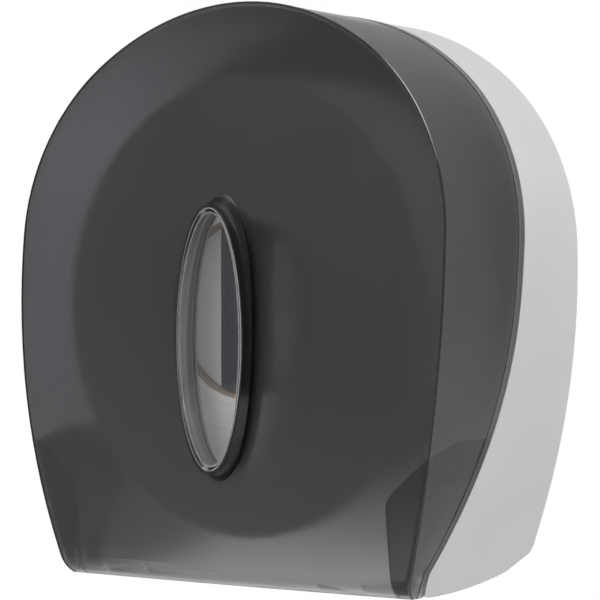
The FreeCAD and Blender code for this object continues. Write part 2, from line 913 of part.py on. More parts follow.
def base_shell(outside, inside):
    """The wall base: its shell, back plate detail, lock pad, hinge arms and register lip."""
    walls = common("base_walls", cut("base_box", outside, inside), base_region())
    arm = hinge_arm(inside_of_cover)
    pieces = [walls, spindle_seat(), back_ribs(inside_of_cover), lock_pad(outside),
              arm, mirrored("hinge_arm_left", arm), register_lip()] + mount_pads()
    holes = [mount_slots(), pin_hole("arm_pin_hole", size.pin_radius), spindle_shanks,
             strip_seat()] + lock_holes()
    return cut("base_shell", fuse("base_solid", *pieces), fuse("base_holes", *holes))


# Tear strips


def edge_centre():
    """The centre of the arc along the foot of a side wall, in side view."""
    run = size.foot_depth - size.edge_end_depth
    climb = size.edge_end_rise - size.foot_rise
    chord = root(run * run + climb * climb)
    reach = leg(size.edge_radius, chord / 2)
    middle_across = -(size.foot_depth + size.edge_end_depth) / 2
    middle_up = below((size.foot_rise + size.edge_end_rise) / 2)
    return (middle_across - climb / chord * reach, middle_up + run / chord * reach)


def edge_height(across_at, drop):
    """The height of a line that runs a given drop below the foot of a side wall."""
    centre_across, centre_up = edge_centre()
    return centre_up - leg(size.edge_radius + drop, across_at - centre_across)


def strip_top(across_at):
    return (across_at, edge_height(across_at, ZERO) + size.strip_height)


def strip_walls():
    """The layer within the side walls that the strips lie in."""
    outer = casing("strip_outside", size.strip_inset, size.seam_foot_depth)
    inner = casing("strip_inside", size.strip_inset + size.strip_thickness, size.seam_foot_depth)
    return cut("strip_walls", outer, inner)


def tear_strips():
    """A toothed strip along the foot of each side wall."""
    front, back = -size.strip_front_depth, -size.strip_back_depth
    count = round((back - front).value / size.tooth_pitch.value)
    pitch = (back - front) / count
    valley_drop = size.strip_show - size.tooth_depth
    corners = [strip_top(front)]
    for number in range(count):
        valley = front + pitch * number
        tip = valley + pitch / 2
        corners.append((valley, edge_height(valley, valley_drop)))
        corners.append((tip, edge_height(tip, size.strip_show)))
    corners.append((back, edge_height(back, valley_drop)))
    corners.append(strip_top(back))
    toothed = plate("strip_teeth", "YZ_Plane", ZERO, HALF_WIDTH, corners)
    strip = common("tear_strip_right", toothed, strip_layer)
    return [strip, mirrored("tear_strip_left", strip)]


def strip_seat():
    """The slit in the foot of both side walls that the strips are pressed into."""
    front, back = -size.strip_front_depth, -size.strip_back_depth
    profile = [(front, LOWEST), (back, LOWEST), strip_top(back), strip_top(front)]
    return common("strip_seat", across("strip_seat_profile", HALF_WIDTH, profile), strip_layer)


# Spindle and hub


def flange_front():
    """The depth of the front of the spindle's flange."""
    return size.back_plate + size.boss_rise + size.post_flange_thickness


def hub_back():
    """The depth of the hub's rear face."""
    return size.roll_front_depth - size.roll_width - size.hub_flange_thickness


def cap_back():
    """The depth of the spindle's front end, which the cap closes."""
    return size.hub_front_depth + size.hub_clearance


def screw_places():
    """Four screws round the spindle's flange."""
    ring = size.spindle_screw_ring / root(measure(2))
    return [(side * ring, up * ring) for side in (-1, 1) for up in (-1, 1)]


def shanks(label, places, front, length, radius):
    """Plain screw shanks along Y that end at the given depth."""
    return fuse(label, *[disc(f"{label}_{number}", "XZ_Plane", front - length, length, radius, at=at)
                         for number, at in enumerate(places)])


def heads(label, places, seat, height, radius):
    return [disc(f"{label}_{number}", "XZ_Plane", seat, height, radius, at=at)
            for number, at in enumerate(places)]


def spindle_screws():
    discs = heads("spindle_screw_head", screw_places(), flange_front(), size.screw_head_height,
                  size.screw_head_radius)
    return fuse("spindle_screws", spindle_shanks, *discs)


def spindle_post():
    """The fixed axle with its wall flange and a collar behind the hub."""
    seat = size.back_plate + size.boss_rise
    collar_front = hub_back() - size.hub_clearance
    blank = turned("spindle_post_blank", "XY_Plane", "V_Axis", [
        (ZERO, -seat),
        (size.post_flange_radius, -seat),
        (size.post_flange_radius, -flange_front()),
        (size.post_collar_radius, -flange_front()),
        (size.post_collar_radius, -collar_front),
        (size.post_radius, -collar_front),
        (size.post_radius, -cap_back()),
        (ZERO, -cap_back()),
    ])
    return cut("spindle_post", blank, fuse("spindle_post_holes", spindle_shanks, cap_shank))


def spindle_cap():
    """The button that keeps the hub on its axle."""
    near = cap_back()
    far = near + size.cap_thickness
    edge = size.cap_edge
    blank = turned("spindle_cap_blank", "XY_Plane", "V_Axis", [
        (ZERO, -near),
        (ZERO, -far),
        (size.cap_radius - edge, -far),
        (size.cap_radius, edge - far),
        (size.cap_radius, -near),
    ])
    return cut("spindle_cap", blank, cap_shank)


def cap_screw():
    seat = cap_back() + size.cap_thickness
    head = heads("cap_screw_head", [(ZERO, ZERO)], seat, size.screw_head_height,
                 size.screw_head_radius)
    return fuse("cap_screw", cap_shank, *head)


def bush_bore():
    return size.post_radius + size.bush_clearance


def hub_bush():
    return disc("hub_bush", "XZ_Plane", hub_back(), size.hub_front_depth - hub_back(),
                bush_bore() + size.bush_wall, bore=bush_bore())


def core_hub():
    """The turning hub: sleeve, rear flange, a fin and a paddle that fill the core's bore."""
    bore = bush_bore() + size.bush_wall
    back = hub_back()
    length = size.hub_front_depth - back
    tube = disc("hub_sleeve", "XZ_Plane", back, length, bore + size.hub_sleeve_wall)
    flange = disc("hub_flange", "XZ_Plane", back, size.hub_flange_thickness, size.hub_flange_radius)
    half_web = size.hub_web_thickness / 2
    reach = size.core_bore_radius - size.core_clearance
    web = plate("hub_fin", "XZ_Plane", back, length, box_corners(-half_web, half_web, -reach, reach))
    half = size.paddle_width / 2
    paddle = plate("hub_paddle", "XZ_Plane", size.hub_front_depth - size.paddle_thickness,
                   size.paddle_thickness, box_corners(-half, half, -reach, reach))
    within = disc("hub_reach", "XZ_Plane", back + size.hub_flange_thickness / 2, length, reach)
    inner = common("hub_inner", fuse("hub_web", web, paddle), within)
    hole = disc("hub_bore", "XZ_Plane", back - size.overrun, length + 2 * size.overrun, bore)
    return cut("core_hub", fuse("hub_solid", tube, flange, inner), hole)


def roll_core():
    near = size.roll_front_depth - size.roll_width
    return disc("roll_core", "XZ_Plane", near, size.roll_width,
                size.core_bore_radius + size.core_wall, bore=size.core_bore_radius)


def tissue_roll():
    inner = size.core_bore_radius + size.core_wall
    outer, edge = size.roll_radius, size.roll_edge
    front, back = -size.roll_front_depth, size.roll_width - size.roll_front_depth
    return turned("tissue_roll", "XY_Plane", "V_Axis", [
        (inner, back),
        (inner, front),
        (outer - edge, front),
        (outer, front + edge),
        (outer, back - edge),
        (outer - edge, back),
    ])


# Hinge


def ear_wedge(label, inner, drop):
    """The room beside the inner plate and under the sloping roof, which also climbs rearward."""
    body = new_body(label + "_outline")
    sketch = new_sketch(body, "XZ_Plane", "outline", size.front_plane_depth)
    shoulder = below(size.ear_shoulder_rise) - drop
    knee_across = inner + size.ear_shoulder_run
    knee_up = shoulder + size.ear_shoulder_climb
    trace(sketch, [
        (inner, LOWEST - size.front_plane_depth),
        (knee_across + size.ear_roof_run, LOWEST - size.front_plane_depth),
        (knee_across + size.ear_roof_run, knee_up + size.ear_roof_climb),
        (knee_across, knee_up),
        (inner, shoulder),
    ])
    wedge = document.addObject("Part::Extrusion", label)
    wedge.Label = label
    wedge.Base = sketch
    wedge.Solid = True
    wedge.DirMode = "Custom"
    wedge.Dir = FreeCAD.Vector(0, 1, 0)
    bind(wedge, "Dir.z", size.ear_roof_lean_share)
    bind(wedge, "LengthFwd", 1.2 * size.front_plane_depth)
    return wedge


def hinge_ear(inside):
    """The right-hand corner pocket of the cover: a lining of the corner, an inner plate with
    the pin's hole, and a roof that slopes up to the side wall."""
    wall = size.ear_wall
    inner = arm_inner() - size.ear_arm_gap - wall
    height = across("ear_height", HALF_WIDTH,
                    box_corners(-FRONTMOST, size.overrun, below(ZERO), below(size.ear_top_rise)))
    block = common("ear_block", inside, ear_wedge("ear_wedge", inner, ZERO), height,
                   ahead_of_seam("ear_side", -size.ear_back_gap))
    room = casing("ear_room_casing", size.cover_wall + wall, size.lip_end_depth - wall)
    under = below(size.ear_top_rise) - wall
    low = across("ear_under_top", HALF_WIDTH,
                 box_corners(-FRONTMOST, size.overrun, LOWEST - size.overrun, under))
    hollow = common("ear_hollow", room, ear_wedge("ear_hollow_wedge", inner + wall, wall), low)
    relief = plate("ear_relief", "YZ_Plane", inner + wall, size.front_plane_depth,
                   box_corners(-size.ear_relief_depth, size.overrun, LOWEST,
                               below(size.ear_relief_rise)))
    hole = pin_hole("ear_pin_hole", size.pin_radius + size.pin_clearance)
    return cut("hinge_ear_right", block, fuse("ear_void", hollow, relief, hole))


def hinge_pin():
    """The right-hand headed pin, pressed into the arm and turning in the ear."""
    plate_inner = arm_inner() - size.ear_arm_gap - size.ear_wall
    start = plate_inner - size.pin_head_gap - size.pin_head_length
    at = (-size.pin_depth, below(size.pin_rise))
    head = disc("hinge_pin_head", "YZ_Plane", start, size.pin_head_length,
                size.pin_head_radius, at=at)
    shank = disc("hinge_pin_shank", "YZ_Plane", start, arm_inner() + size.arm_thickness - start,
                 size.pin_radius, at=at)
    return fuse("hinge_pin_right", head, shank)


# Lock


def barrel_bore():
    return size.plug_radius + size.plug_clearance


def lock_barrel():
    low, top = size.barrel_bottom, size.lock_pad_top
    tube = disc("barrel_tube", "XY_Plane", low, top - low, size.barrel_radius, at=lock_place())
    bezel = disc("barrel_bezel", "XY_Plane", top, size.bezel_thickness, size.bezel_radius,
                 at=lock_place())
    hole = disc("barrel_bore", "XY_Plane", low - size.overrun, top - low + 2 * size.overrun,
                barrel_bore(), at=lock_place())
    return cut("lock_barrel", fuse("barrel_blank", tube, bezel), hole)


def lock_nut():
    top = size.lock_pad_top - size.lock_pad_thickness
    return disc("lock_nut", "XY_Plane", top - size.nut_thickness, size.nut_thickness,
                size.nut_radius, at=lock_place(), bore=size.barrel_radius)


def cam_top():
    return size.barrel_bottom - size.cam_gap


def lock_plug():
    """The turning plug: its key slot is open to the top and a screw holds the cam below."""
    top = size.lock_pad_top + size.bezel_thickness
    blank = disc("lock_plug_blank", "XY_Plane", cam_top(), top - cam_top(), size.plug_radius,
                 at=lock_place())
    half_long, half_wide = size.keyway_length / 2, size.keyway_width / 2
    keyway = plate("keyway", "XY_Plane", top - size.keyway_depth,
                   size.keyway_depth + size.overrun,
                   box_corners(-half_long, half_long, -size.lock_depth - half_wide,
                               half_wide - size.lock_depth))
    return cut("lock_plug", blank, fuse("plug_holes", keyway, cam_shank))


def cam_point(radius, turn):
    """A place at a radius and direction about the lock's axis."""
    return (radius * cosine(turn), radius * sine(turn) - size.lock_depth)


def lock_cam():
    """The quarter-turn cam: a hub, an arm and a curved finger about the lock's axis."""
    low = cam_top() - size.cam_thickness
    hub = disc("cam_hub", "XY_Plane", low, size.cam_thickness, size.cam_hub_radius,
               at=lock_place())
    outer = size.cam_finger_radius
    inner = outer - size.cam_finger_width
    middle = outer - size.cam_finger_width / 2
    start = size.cam_start_turn
    end = start - size.cam_finger_turn
    finger = plate("cam_finger", "XY_Plane", low, size.cam_thickness, [
        (*cam_point(inner, start), inner, -1),
        cam_point(inner, end),
        (*cam_point(outer, end), outer, 1),
        cam_point(outer, start),
    ])
    arm_end = start - size.cam_arm_turn
    root_radius = size.plug_radius
    arm = plate("cam_arm", "XY_Plane", low, size.cam_thickness, [
        cam_point(root_radius, start + size.cam_arm_turn),
        cam_point(root_radius, arm_end - size.cam_arm_turn),
        cam_point(middle, arm_end),
        cam_point(middle, start),
    ])
    return cut("lock_cam", fuse("cam_blank", hub, finger, arm), cam_shank)


def cam_screw():
    low = cam_top() - size.cam_thickness
    head = disc("cam_screw_head", "XY_Plane", low - size.screw_head_height,
                size.screw_head_height, size.screw_head_radius, at=lock_place())
    return fuse("cam_screw", cam_shank, head)


def keeper_depth():
    """The depth at which the cam's finger passes through the keeper."""
    return size.lock_depth + size.cam_finger_radius - size.cam_finger_width / 2


def lock_keeper():
    """The bracket under the cover's crown that the cam's finger passes through."""
    depth = keeper_depth()
    half = size.keeper_half_width
    half_window = size.keeper_window_width / 2
    middle_up = cam_top() - size.cam_thickness / 2
    low, high = middle_up - size.keeper_window_height / 2, middle_up + size.keeper_window_height / 2
    thickness = size.keeper_thickness
    upright = plate("keeper_upright", "YZ_Plane", -thickness / 2, thickness,
                    box_corners(-depth - half, half - depth, low - size.keeper_foot,
                                size.keeper_top))
    window = plate("keeper_window", "YZ_Plane", -size.overrun, 2 * size.overrun,
                   box_corners(-depth - half_window, half_window - depth, low, high))
    leg_plate = plate("keeper_leg", "XY_Plane", size.keeper_top - thickness, thickness,
                      box_corners(-size.keeper_leg_half_length, size.keeper_leg_half_length,
                                  -depth - size.keeper_leg_front_run,
                                  size.keeper_leg_back_run - depth))
    return cut("lock_keeper", fuse("keeper_blank", upright, leg_plate),
               fuse("keeper_holes", window, keeper_shanks))


def keeper_boss(outside):
    """The moulded pad under the crown that the keeper is screwed to."""
    depth = keeper_depth()
    half = size.keeper_leg_half_length
    block = plate("keeper_boss_block", "XY_Plane", size.keeper_top, HIGHEST - size.keeper_top,
                  box_corners(-half, half, -depth - size.keeper_leg_front_run,
                              size.keeper_boss_back_run - depth))
    return common("keeper_boss", block, outside)


def keeper_screw_places():
    up_at = -keeper_depth() - size.keeper_screw_run
    return [(side * size.keeper_screw_across, up_at) for side in (-1, 1)]


def keeper_screw_shanks():
    low = size.keeper_top - size.keeper_thickness
    return fuse("keeper_shanks", *[
        disc(f"keeper_shank_{number}", "XY_Plane", low, size.keeper_screw_length,
             size.keeper_screw_radius, at=place)
        for number, place in enumerate(keeper_screw_places())])


def keeper_screws():
    low = size.keeper_top - size.keeper_thickness - size.keeper_screw_head_height
    discs = [disc(f"keeper_screw_head_{number}", "XY_Plane", low, size.keeper_screw_head_height,
                  size.keeper_screw_head_radius, at=place)
             for number, place in enumerate(keeper_screw_places())]
    return fuse("keeper_screws", keeper_shanks, *discs)


# Assembly


def pieces():
    ear = hinge_ear(inside_of_cover)
    pin = hinge_pin()
    return [
        base_shell(casing_outside, base_room()),
        *tear_strips(),
        spindle_post(),
        spindle_screws(),
        spindle_cap(),
        cap_screw(),
        lock_barrel(),
        lock_nut(),
        pin,
        mirrored("hinge_pin_left", pin),
        front_cover(casing_outside, inside_of_cover),
        window_lens(),
        lens_retainer(),
        ear,
        mirrored("hinge_ear_left", ear),
        lock_keeper(),
        keeper_screws(),
        hub_bush(),
        core_hub(),
        roll_core(),
        tissue_roll(),
        lock_plug(),
        lock_cam(),
        cam_screw(),
    ]


def check(finished):
    """Stop if any object failed or any piece is empty or invalid."""
    for thing in document.Objects:
        if "Invalid" in thing.State or "Error" in thing.State:
            raise RuntimeError(f"{thing.Label} failed: {thing.State}")
    for piece in finished:
        if piece.Shape.isNull() or not piece.Shape.isValid():
            raise RuntimeError(f"{piece.Label} has no valid shape")


def export(finished):
    os.makedirs("parts", exist_ok=True)
    for piece in finished:
        piece.Shape.exportStep(f"parts/{piece.Label}.step")


casing_outside = casing("casing_outside", ZERO)
inside_of_cover = casing("cover_inside", size.cover_wall, size.lip_end_depth)
strip_layer = strip_walls()
spindle_shanks = shanks("spindle_shanks", screw_places(), flange_front(), size.screw_length,
                        size.screw_radius)
cap_shank = disc("cap_shank", "XZ_Plane", cap_back() - size.cap_screw_reach,
                 size.cap_screw_reach + size.cap_thickness, size.screw_radius)
cam_shank = disc("cam_shank", "XY_Plane", cam_top() - size.cam_thickness, size.screw_length,
                 size.screw_radius, at=lock_place())
keeper_shanks = keeper_screw_shanks()
finished_pieces = pieces()
document.recompute()
check(finished_pieces)
export(finished_pieces)
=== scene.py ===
import bmesh
import bpy
import math
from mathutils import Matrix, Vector


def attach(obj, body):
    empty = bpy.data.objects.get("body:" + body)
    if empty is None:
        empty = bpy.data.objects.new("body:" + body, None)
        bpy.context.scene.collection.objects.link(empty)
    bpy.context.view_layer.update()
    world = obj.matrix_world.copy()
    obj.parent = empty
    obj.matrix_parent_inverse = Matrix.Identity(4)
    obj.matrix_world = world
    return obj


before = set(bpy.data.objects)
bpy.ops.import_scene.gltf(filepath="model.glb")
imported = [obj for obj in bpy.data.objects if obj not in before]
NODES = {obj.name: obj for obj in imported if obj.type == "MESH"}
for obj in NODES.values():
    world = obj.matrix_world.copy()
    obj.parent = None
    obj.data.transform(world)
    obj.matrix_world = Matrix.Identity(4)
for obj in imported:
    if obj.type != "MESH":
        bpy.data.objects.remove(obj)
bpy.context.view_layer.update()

# Where the camera stands, from the outline in the photograph
CAMERA_PLACE = (1.1036, -1.4318, 0.0386)
CAMERA_TURN = 38.84
CAMERA_DROP = 1.15
LENS_MM = 210.0
SENSOR_MM = 36.0

VIEW_REACH = 20.0

# Sizes in metres
SPINDLE_TO_FLOOR = 0.42
FLOOR_HALF = 3.0
HUB_FLANGE_FRONT = -0.0212
WELD_DISTANCE = 1e-6

# How far two faces may turn before the edge between them is drawn crisp
CRISP_ANGLE = math.radians(24)
TURNED_CRISP_ANGLE = math.radians(30)

# The turn of the surface, as a cosine, over which the mask for sharp edges rises
EDGE_START = 0.985
EDGE_FULL = 0.9

# Plastic surfaces: a fine grain, and gloss that wanders about its mean
GRAIN_SCALE = 2600.0
GRAIN_HEIGHT = 0.00008
GLOSS_BELOW = 0.05
GLOSS_ABOVE = 0.07

# The wound tissue's rings
RINGS_PER_METRE = 900.0

# The even light of the room on the object, and the pale ground that is seen
ROOM_LIGHT = 0.55
SEEN_LIGHT = 1.0
WHITE = (1, 1, 1, 1)

# The crease between the cover's front and its sides, and the near-black strip along it, painted shade for
# the crease's dark line
CREASE_ANGLE = math.radians(60)
CREASE_DEPTH = 0.1
WINDOW_REACH = 0.03
CREASE_FOOT = -0.1362
FRONT_SIDEWAYS = 0.25
FRONT_UPWARD = 0.5
SIDE_FORWARD = 0.4
CREASE_STRIP_HALF_WIDTH = 0.00062
CREASE_STRIP_FLAT = 0.00024
CREASE_STRIP_RISE = 0.00012
CREASE_STRIP_ROOT = 0.0011

# The line where the cover meets the base, seen from the side, and the band along it
SEAM_KNEE = Vector((0.0532, 0.0046))
SEAM_FOOT = Vector((0.101, -0.1247))
SEAM_LEAN = math.radians(6.1)
BAND_WIDTH = 0.0052
BAND_BLUR = 0.0004

# The recessed web that closes the hub's front
WEB_DEPTH = 0.1022
WEB_BORE = 0.0155
WEB_RADIUS = 0.0427
WEB_THICKNESS = 0.0016
TURN_STEPS = 96

# The broad navy blade over the hub's own narrower one
BLADE_FRONT = 0.1034
BLADE_THICKNESS = 0.003
BLADE_HALF_WIDTH = 0.0165
BLADE_REACH = 0.0426
BLADE_BORE = 0.0152
BLADE_STEPS = 24
BLADE_EDGE = BLADE_THICKNESS / 6


# Shader helpers


class Shader:
    """A material's node tree with short ways to add and join nodes."""

    def __init__(self, name):
        self.material = bpy.data.materials.new(name)
        self.material.use_nodes = True
        self.tree = self.material.node_tree
        self.tree.nodes.clear()
        self.output = self.tree.nodes.new("ShaderNodeOutputMaterial")
        self.surface = self.tree.nodes.new("ShaderNodeBsdfPrincipled")
        self.join(self.surface.outputs[0], self.output.inputs["Surface"])
        self.place = self.tree.nodes.new("ShaderNodeTexCoord").outputs["Object"]

    def join(self, source, target):
        self.tree.links.new(source, target)

    def set(self, **values):
        """Constant values on the shader's own sockets."""
        for name, value in values.items():
            self.surface.inputs[name.replace("_", " ")].default_value = value

    def add(self, kind, **inputs):
        node = self.tree.nodes.new(kind)
        for name, value in inputs.items():
            socket = node.inputs[name.replace("_", " ")]
            if isinstance(value, bpy.types.NodeSocket):
                self.join(value, socket)
            else:
                socket.default_value = value
        return node

    def noise(self, scale, detail=3.0, stretch=None):
        vector = self.place
        if stretch:
            mapping = self.add("ShaderNodeMapping", Vector=vector, Scale=stretch)
            vector = mapping.outputs[0]
        return self.add("ShaderNodeTexNoise", Vector=vector, Scale=scale, Detail=detail).outputs[0]

    def ramp(self, factor, stops):
        """Colours along a factor: stops are (position, colour)."""
        node = self.add("ShaderNodeValToRGB", Fac=factor)
        elements = node.color_ramp.elements
        elements[0].position, elements[0].color = stops[0][0], (*stops[0][1], 1)
        elements[1].position, elements[1].color = stops[1][0], (*stops[1][1], 1)
        for position, colour in stops[2:]:
            elements.new(position).color = (*colour, 1)
        return node.outputs[0]

    def blend(self, factor, first, second):
        """From the first colour, a socket, to the second, a constant, with the factor."""
        node = self.tree.nodes.new("ShaderNodeMix")
        node.data_type = "RGBA"
        self.join(factor, node.inputs["Factor"])
        colours = [socket for socket in node.inputs if socket.type == "RGBA"]
        self.join(first, colours[0])
        colours[1].default_value = (*second, 1)
        return [socket for socket in node.outputs if socket.type == "RGBA"][0]

    def level(self, factor, low, high):
        """A number that runs from low to high with the factor."""
        node = self.add("ShaderNodeMapRange", Value=factor)
        node.inputs["To Min"].default_value = low
        node.inputs["To Max"].default_value = high
        return node.outputs[0]

    def work_out(self, operation, first, second=None):
        """One step of arithmetic on sockets or numbers."""
        node = self.tree.nodes.new("ShaderNodeMath")
        node.operation = operation
        for socket, value in zip(node.inputs, (first, second)):
            if isinstance(value, bpy.types.NodeSocket):
                self.join(value, socket)
            elif value is not None:
                socket.default_value = value
        return node.outputs[0]

    def bump(self, height, strength, distance=0.0002):
        node = self.add("ShaderNodeBump", Height=height, Strength=strength, Distance=distance)
        self.join(node.outputs[0], self.surface.inputs["Normal"])

    def edge(self, radius):
        """A mask that is high along sharp edges, up to a radius from them."""
        soft = self.add("ShaderNodeBevel", Radius=radius)
        flat = self.add("ShaderNodeNewGeometry")
        turn = self.add("ShaderNodeVectorMath")
        turn.operation = "DOT_PRODUCT"
        self.join(soft.outputs[0], turn.inputs[0])
        self.join(flat.outputs["Normal"], turn.inputs[1])
        node = self.add("ShaderNodeMapRange", Value=turn.outputs["Value"])
        node.inputs["From Min"].default_value = EDGE_START
        node.inputs["From Max"].default_value = EDGE_FULL
        return node.outputs["Result"]

    def colour(self, socket):
        self.join(socket, self.surface.inputs["Base Color"])

    def roughness(self, socket):
        self.join(socket, self.surface.inputs["Roughness"])


def moulded(name, dark, pale, gloss, grain=0.15):
    """Moulded plastic: faint mottling, uneven gloss and a fine grain."""
    shader = Shader(name)
    cloud = shader.noise(14.0)
    shader.colour(shader.ramp(cloud, [(0.3, dark), (0.7, pale)]))
    shader.roughness(shader.level(shader.noise(60.0), gloss - GLOSS_BELOW, gloss + GLOSS_ABOVE))
    shader.bump(shader.noise(GRAIN_SCALE, detail=2.0), grain, GRAIN_HEIGHT)
    return shader


def seam_distance(shader):
    """How far a point lies ahead of the seam: a leaning line above the knee, an arc below it."""
    chord = SEAM_FOOT - SEAM_KNEE
    chord_lean = math.atan2(chord.x, -chord.y)
    radius = chord.length / (2 * math.sin(chord_lean - SEAM_LEAN))
    centre = SEAM_KNEE + radius * Vector((math.cos(SEAM_LEAN), math.sin(SEAM_LEAN)))
    split = shader.add("ShaderNodeSeparateXYZ", Vector=shader.place)
    depth = shader.work_out("MULTIPLY", split.outputs["Y"], -1.0)
    height = split.outputs["Z"]
    rise = shader.work_out("MULTIPLY", shader.work_out("SUBTRACT", height, SEAM_KNEE.y), math.tan(SEAM_LEAN))
    above = shader.work_out("ADD", shader.work_out("SUBTRACT", depth, SEAM_KNEE.x), rise)
    across = shader.work_out("POWER", shader.work_out("SUBTRACT", depth, centre.x), 2.0)
    up = shader.work_out("POWER", shader.work_out("SUBTRACT", height, centre.y), 2.0)
    reach = shader.work_out("SQRT", shader.work_out("ADD", across, up))
    below = shader.work_out("SUBTRACT", radius, reach)
    over_knee = shader.work_out("GREATER_THAN", height, SEAM_KNEE.y)
    gain = shader.work_out("MULTIPLY", over_knee, shader.work_out("SUBTRACT", above, below))
    return shader.work_out("ADD", below, gain)


def smoked_cover():
    """Frosted smoked plastic: it blurs what lies behind it, with a paler band at its rear and painted shade
    along its sharp edges.
    """
    shader = Shader("smoked_cover")
    smoke = [(0.3, (0.207, 0.21, 0.219)), (0.7, (0.233, 0.236, 0.246))]
    cloud = shader.ramp(shader.noise(9.0), smoke)
    band = shader.add("ShaderNodeMapRange", Value=seam_distance(shader))
    band.inputs["From Min"].default_value = BAND_WIDTH + BAND_BLUR
    band.inputs["From Max"].default_value = BAND_WIDTH - BAND_BLUR
    banded = shader.blend(band.outputs["Result"], cloud, (0.43, 0.43, 0.44))
    # Near black along sharp edges such as the crease: painted shade for the dark line that the thick plastic
    # shows there
    shader.colour(shader.blend(shader.edge(0.0005), banded, (0.05, 0.05, 0.055)))
    shader.roughness(shader.level(shader.noise(40.0), 0.30, 0.36))
    shader.set(Transmission_Weight=1.0, IOR=1.42, Coat_Weight=0.06, Coat_Roughness=0.12)
    return shader.material


def window_plastic():
    """Clear, faintly smoked plastic with a polished face; near its edges less light passes and its pale
    colour shows, a painted highlight along the rim.
    """
    shader = Shader("smoked_lens")
    clear = [(0.3, (0.96, 0.963, 0.967)), (0.7, (0.985, 0.988, 0.99))]
    shader.colour(shader.ramp(shader.noise(12.0), clear))
    shader.roughness(shader.level(shader.noise(30.0), 0.02, 0.06))
    # Less light passes near the edges, so the pale colour shows there: a painted highlight along the lens
    # rim
    passing = shader.level(shader.edge(0.0012), 1.0, 0.2)
    shader.join(passing, shader.surface.inputs["Transmission Weight"])
    shader.set(IOR=1.4)
    return shader.material


def crease_shade_plastic():
    """Near black, painted shade for the crease's dark line, with the soft gloss that catches the upper lamp.
    """
    shader = moulded("crease_shade_plastic", (0.004, 0.004, 0.005), (0.006, 0.006, 0.007), 0.1, grain=0.01)
    shader.set(IOR=1.5)
    return shader.material


def ear_plastic():
    """The ears are smoked too: light passes them, and near black along their edges is painted shade for the
    dark line there.
    """
    shader = Shader("ear_plastic")
    cloud = shader.ramp(shader.noise(9.0), [(0.3, (0.52, 0.525, 0.54)), (0.7, (0.58, 0.585, 0.6))])
    # Near black along the ears' edges: painted shade for the dark line that shows there
    shader.colour(shader.blend(shader.edge(0.0022), cloud, (0.015, 0.015, 0.017)))
    shader.roughness(shader.level(shader.noise(40.0), 0.28, 0.36))
    shader.set(Transmission_Weight=1.0, IOR=1.2)
    return shader.material


def tissue_paper():
    """Wound tissue: fine rings on its ends."""
    shader = Shader("tissue_paper")
    split = shader.add("ShaderNodeSeparateXYZ", Vector=shader.place)
    flat = shader.add("ShaderNodeCombineXYZ", X=split.outputs["X"], Z=split.outputs["Z"])
    length = shader.add("ShaderNodeVectorMath", Vector=flat.outputs[0])
    length.operation = "LENGTH"
    spread = shader.work_out("MULTIPLY", length.outputs["Value"], RINGS_PER_METRE)
    ring = shader.add("ShaderNodeTexNoise", Scale=1.0, Detail=2.0)
    ring.noise_dimensions = "1D"
    shader.join(spread, ring.inputs["W"])
    paper = [(0.3, (0.85, 0.815, 0.795)), (0.7, (0.94, 0.915, 0.895))]
    shader.colour(shader.ramp(ring.outputs[0], paper))
    shader.bump(ring.outputs[0], 0.35, 0.0004)
    shader.set(Roughness=0.92)
    return shader.material


def core_board():
    shader = Shader("core_board")
    grain = shader.noise(120.0, stretch=(1.0, 0.15, 1.0))
    shader.colour(shader.ramp(grain, [(0.3, (0.30, 0.22, 0.155)), (0.7, (0.40, 0.31, 0.23))]))
    shader.bump(shader.noise(700.0), 0.3)
    shader.set(Roughness=0.85)
    return shader.material


def metal(name, dark, pale, gloss, stretch=None):
    shader = Shader(name)
    grain = shader.noise(900.0, stretch=stretch)
    shader.colour(shader.ramp(grain, [(0.3, dark), (0.7, pale)]))
    shader.roughness(shader.level(grain, gloss - 0.06, gloss + 0.08))
    shader.bump(grain, 0.12, 0.00006)
    shader.set(Metallic=1.0)
    return shader.material


def hub_plastic():
    """Navy blades in front of a pale rear flange."""
    shader = moulded("hub_plastic", (0.008, 0.011, 0.026), (0.012, 0.015, 0.034), 0.4, grain=0.02)
    navy = shader.surface.inputs["Base Color"].links[0].from_socket
    split = shader.add("ShaderNodeSeparateXYZ", Vector=shader.place)
    behind = shader.work_out("GREATER_THAN", split.outputs["Y"], HUB_FLANGE_FRONT)
    shader.colour(shader.blend(behind, navy, (0.42, 0.42, 0.43)))
    return shader.material


def make_materials():
    return {
        "base": moulded("base_plastic", (0.565, 0.565, 0.565), (0.60, 0.60, 0.597), 0.42).material,
        "cover": smoked_cover(),
        "lens": window_plastic(),
        "ear": ear_plastic(),
        "crease_shade_look": crease_shade_plastic(),
        "web": moulded("web_plastic", (0.74, 0.74, 0.75), (0.8, 0.8, 0.81), 0.5).material,
        "dark": moulded("dark_plastic", (0.085, 0.087, 0.09), (0.1, 0.102, 0.106), 0.4).material,
        "black": moulded("black_plastic", (0.008, 0.008, 0.009), (0.011, 0.011, 0.012), 0.35).material,
        "grey": moulded("grey_plastic", (0.30, 0.30, 0.31), (0.34, 0.34, 0.35), 0.45).material,
        "hub": hub_plastic(),
        "bush": moulded("bush_plastic", (0.62, 0.62, 0.58), (0.68, 0.68, 0.64), 0.45).material,
        "core": core_board(),
        "tissue": tissue_paper(),
        "strip": metal("strip_steel", (0.42, 0.41, 0.39), (0.50, 0.49, 0.47), 0.4, (0.2, 0.2, 3.0)),
        "black_screw": metal("screw_black", (0.03, 0.03, 0.032), (0.045, 0.045, 0.048), 0.45),
        "screw": metal("screw_steel", (0.52, 0.52, 0.52), (0.62, 0.62, 0.62), 0.3),
        "keeper": metal("keeper_steel", (0.48, 0.49, 0.5), (0.58, 0.59, 0.6), 0.36),
        "lock": metal("lock_metal", (0.62, 0.63, 0.64), (0.72, 0.73, 0.74), 0.2),
    }


